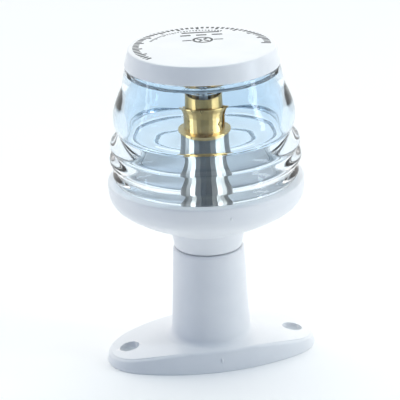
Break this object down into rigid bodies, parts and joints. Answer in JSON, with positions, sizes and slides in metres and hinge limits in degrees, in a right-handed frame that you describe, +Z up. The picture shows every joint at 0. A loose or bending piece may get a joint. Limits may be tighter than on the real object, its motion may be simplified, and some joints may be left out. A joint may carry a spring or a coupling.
{
  "type": "all-round navigation light",
  "caption": "All-round navigation light: ribbed clear lens under a white cap, bowl-shaped head, short pedestal, oval screw-down flange, bayonet lampholder and lamp.",
  "frame": {"origin": "centre of the flange's underside, on the deck plane under the pedestal's axis", "axes": "+Z up along the light's axis, +X along the flange's long axis through both screw holes, +Y across the flange"},
  "size_m": [0.0884, 0.08, 0.1329],
  "materials": {
    "white_plastic": "white moulded ABS, satin gloss",
    "clear_lens": "clear moulded polycarbonate, smooth",
    "bulb_glass": "clear blown glass",
    "nickel": "bright nickel plate",
    "brass": "bright brass",
    "zinc_steel": "zinc-plated steel",
    "tungsten": "drawn tungsten wire on a glass and nickel stem",
    "solder": "dull solder",
    "rubber": "black nitrile, matte",
    "bakelite": "brown phenolic moulding",
    "vitrite": "black fused glass",
    "nylon": "natural nylon",
    "red_pvc": "red PVC insulation",
    "black_pvc": "black PVC insulation"
  },
  "bodies": {
    "pedestal": {"base_pedestal": "white_plastic", "head_housing": "white_plastic", "neck_seal": "rubber", "nipple": "zinc_steel", "nipple_nut": "zinc_steel", "nipple_washer": "zinc_steel", "tube_nut": "zinc_steel", "earth_tag": "brass", "holder_tube": "nickel", "holder_core": "bakelite", "bayonet_shell": "brass", "contact_eyelet": "brass", "contact_spring": "zinc_steel", "wire_live": "red_pvc", "wire_return": "black_pvc", "terminal_block": "nylon", "clamp_tube_left": "brass", "clamp_screw_left_1": "zinc_steel", "clamp_screw_left_2": "zinc_steel", "clamp_tube_right": "brass", "clamp_screw_right_1": "zinc_steel", "clamp_screw_right_2": "zinc_steel"},
    "plunger": {"contact_plunger": "brass"},
    "lamp": {"lamp_base": "brass", "lamp_insulator": "vitrite", "lamp_contact": "solder", "lamp_glass": "bulb_glass", "lamp_filament": "tungsten"},
    "lens_slide": {"lens_seal": "rubber"},
    "lens_unit": {"lens": "clear_lens", "top_cap": "white_plastic", "cap_seal": "rubber"}
  },
  "joints": [
    {"name": "lens_lift", "type": "slide", "parent": "pedestal", "child": "lens_slide", "axis": [0, 0, 1], "range_m": [0, 0.07]},
    {"name": "lens_turn", "type": "hinge", "parent": "lens_slide", "child": "lens_unit", "pos_m": [0, 0, 0.076], "axis": [0, 0, 1], "continuous": true},
    {"name": "contact_press", "type": "slide", "parent": "pedestal", "child": "plunger", "axis": [0, 0, 1], "range_m": [-0.002, 0], "stiffness_N_per_m": 2000, "springref_m": 0.002, "deforming": ["contact_spring"]},
    {"name": "lamp_twist", "type": "hinge", "parent": "plunger", "child": "lamp", "pos_m": [0, 0, 0.0997], "axis": [0, 0, 1], "range_deg": [0, 20]}
  ],
  "couplings": [
    {"joint": "lamp_twist", "follows": "contact_press", "rad_per_m": -174.53}
  ]
}
